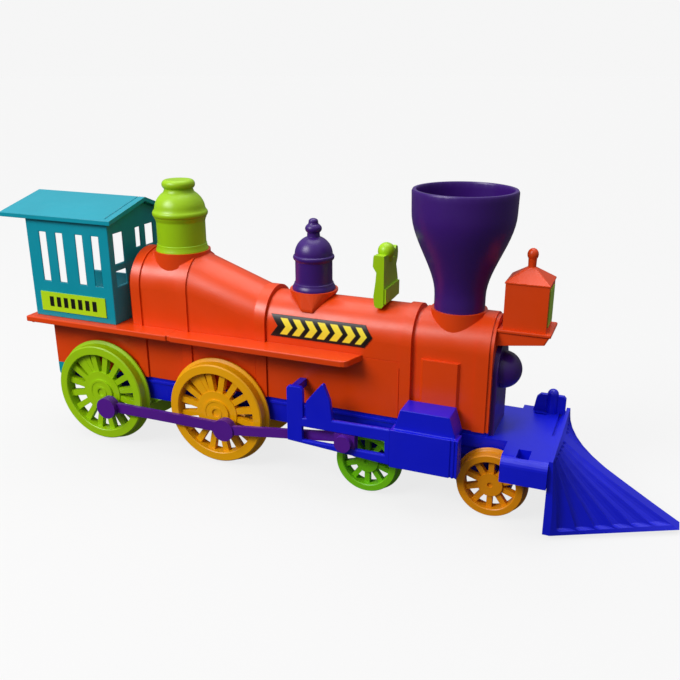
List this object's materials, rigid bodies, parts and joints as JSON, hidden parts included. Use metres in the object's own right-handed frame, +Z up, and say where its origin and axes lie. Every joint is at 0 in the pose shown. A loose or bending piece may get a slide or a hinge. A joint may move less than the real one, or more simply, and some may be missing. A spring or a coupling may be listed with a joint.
{
  "type": "toy steam locomotive",
  "caption": "Toy steam locomotive in bright moulded plastics, with turning spoked wheels, coupling rods and crossheads, an open cab, a funnel stack and a cowcatcher.",
  "frame": {"origin": "on the floor under the middle of the locomotive, half way between the back of the cab roof and the tip of the pilot", "axes": "+X forward to the pilot, +Y to the locomotive's left, +Z up"},
  "size_m": [0.3, 0.0588, 0.1265],
  "materials": {
    "boiler_orange": "satin",
    "cab_teal": "satin",
    "fitting_lime": "satin",
    "wheel_green": "satin",
    "driver_yellow": "satin",
    "wheel_amber": "satin",
    "stack_purple": "satin",
    "rod_violet": "satin",
    "chassis_blue": "satin",
    "plate_lime": "satin",
    "emblem_yellow": "satin",
    "steel": "satin"
  },
  "bodies": {
    "locomotive": {"chassis": "chassis_blue", "truck_frame": "chassis_blue", "front_deck": "chassis_blue", "marker_post": "chassis_blue", "pilot": "chassis_blue", "rear_coupler": "cab_teal", "chassis_screws": "steel", "truck_screws": "steel", "boiler_shell": "boiler_orange", "smokebox_shell": "boiler_orange", "smokebox_front": "stack_purple", "headlamp_bracket": "boiler_orange", "headlamp_case": "boiler_orange", "headlamp_lens": "fitting_lime", "smokestack": "stack_purple", "sand_dome": "stack_purple", "steam_dome": "fitting_lime", "bell": "fitting_lime", "cab_walls": "cab_teal", "cab_roof": "cab_teal", "rear_footplate": "boiler_orange", "running_board_right": "boiler_orange", "running_board_left": "boiler_orange", "cab_plate_right": "plate_lime", "cab_plate_left": "plate_lime", "boiler_emblem_right": "emblem_yellow", "boiler_emblem_left": "emblem_yellow", "cylinder_block_right": "chassis_blue", "cylinder_block_left": "chassis_blue", "crosshead_guide_right": "chassis_blue", "crosshead_guide_left": "chassis_blue", "guide_yoke_right": "chassis_blue", "guide_yoke_left": "chassis_blue"},
    "rear_drivers": {"rear_driver_axle": "steel", "rear_driver_right": "fitting_lime", "rear_driver_left": "fitting_lime", "rear_crank_pin_right": "steel", "rear_crank_pin_left": "steel"},
    "front_drivers": {"front_driver_axle": "steel", "front_driver_right": "driver_yellow", "front_driver_left": "driver_yellow", "front_crank_pin_right": "steel", "front_crank_pin_left": "steel"},
    "side_rod_r": {"side_rod_right": "rod_violet"},
    "side_rod_l": {"side_rod_left": "rod_violet"},
    "main_rod_r": {"main_rod_right": "rod_violet"},
    "main_rod_l": {"main_rod_left": "rod_violet"},
    "crosshead_r": {"crosshead_right": "rod_violet"},
    "crosshead_l": {"crosshead_left": "rod_violet"},
    "rear_truck_wheels": {"rear_truck_axle": "steel", "rear_truck_wheel_right": "wheel_green", "rear_truck_wheel_left": "wheel_green"},
    "front_truck_wheels": {"front_truck_axle": "steel", "front_truck_wheel_right": "wheel_amber", "front_truck_wheel_left": "wheel_amber"}
  },
  "joints": [
    {"name": "front_drive_spin", "type": "hinge", "parent": "locomotive", "child": "front_drivers", "pos_m": [-0.0435, 0, 0.0245], "axis": [0, 1, 0], "continuous": true},
    {"name": "rear_drive_spin", "type": "hinge", "parent": "locomotive", "child": "rear_drivers", "pos_m": [-0.1055, 0, 0.0245], "axis": [0, 1, 0], "continuous": true},
    {"name": "rear_truck_spin", "type": "hinge", "parent": "locomotive", "child": "rear_truck_wheels", "pos_m": [0.0276, 0, 0.0145], "axis": [0, 1, 0], "continuous": true},
    {"name": "front_truck_spin", "type": "hinge", "parent": "locomotive", "child": "front_truck_wheels", "pos_m": [0.0792, 0, 0.0145], "axis": [0, 1, 0], "continuous": true},
    {"name": "side_rod_r_turn", "type": "hinge", "parent": "front_drivers", "child": "side_rod_r", "pos_m": [-0.03737, -0.02115, 0.01936], "axis": [0, 1, 0], "continuous": true},
    {"name": "main_rod_r_turn", "type": "hinge", "parent": "front_drivers", "child": "main_rod_r", "pos_m": [-0.03737, -0.023, 0.01936], "axis": [0, 1, 0], "continuous": true},
    {"name": "side_rod_l_turn", "type": "hinge", "parent": "front_drivers", "child": "side_rod_l", "pos_m": [-0.03836, 0.02115, 0.03063], "axis": [0, 1, 0], "continuous": true},
    {"name": "main_rod_l_turn", "type": "hinge", "parent": "front_drivers", "child": "main_rod_l", "pos_m": [-0.03836, 0.023, 0.03063], "axis": [0, 1, 0], "continuous": true},
    {"name": "crosshead_r_slide", "type": "slide", "parent": "locomotive", "child": "crosshead_r", "axis": [1, 0, 0], "range_m": [-0.0138, 0.0023]},
    {"name": "crosshead_l_slide", "type": "slide", "parent": "locomotive", "child": "crosshead_l", "axis": [1, 0, 0], "range_m": [-0.0131, 0.003]}
  ],
  "couplings": [
    {"joint": "rear_drive_spin", "follows": "front_drive_spin", "ratio": 1},
    {"joint": "side_rod_r_turn", "follows": "front_drive_spin", "ratio": -1},
    {"joint": "main_rod_r_turn", "follows": "front_drive_spin", "ratio": -1},
    {"joint": "side_rod_l_turn", "follows": "front_drive_spin", "ratio": -1},
    {"joint": "main_rod_l_turn", "follows": "front_drive_spin", "ratio": -1}
  ]
}
